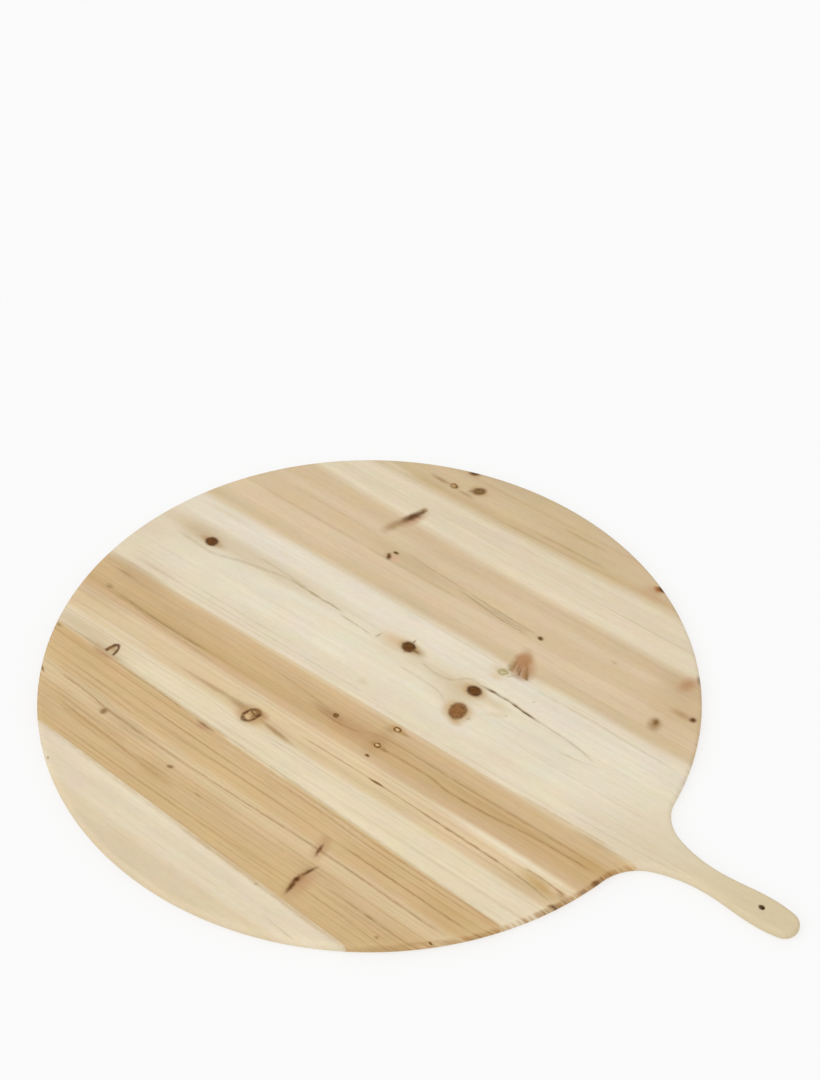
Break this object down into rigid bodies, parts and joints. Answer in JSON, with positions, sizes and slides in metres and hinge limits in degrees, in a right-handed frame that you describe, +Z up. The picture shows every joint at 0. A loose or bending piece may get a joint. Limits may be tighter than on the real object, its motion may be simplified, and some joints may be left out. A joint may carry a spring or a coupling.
{
  "type": "cheese board",
  "caption": "Thin round wooden cheese board with a slim paddle handle, edge-glued from tapered knotty fir staves, with a rounded rim and a small hanging hole in the handle.",
  "frame": {"origin": "centre of the disc on the underside, where the board rests", "axes": "+X from the disc's centre along the handle, +Y to the left of the handle, +Z up out of the serving face"},
  "size_m": [0.6254, 0.5, 0.009],
  "materials": {
    "fir_tan": "sanded, unvarnished",
    "fir_cream": "sanded, unvarnished",
    "fir_orange": "sanded, unvarnished",
    "fir_golden": "sanded, unvarnished",
    "wood_glue": "cured film, sanded flush"
  },
  "bodies": {
    "root": {"stave_outer_left": "fir_tan", "stave_inner_left": "fir_tan", "stave_handle": "fir_cream", "stave_inner_right": "fir_orange", "stave_middle_right": "fir_golden", "stave_outer_right": "fir_cream", "glue_line_outer_left": "wood_glue", "glue_line_inner_left": "wood_glue", "glue_line_inner_right": "wood_glue", "glue_line_middle_right": "wood_glue", "glue_line_outer_right": "wood_glue"}
  },
  "joints": []
}
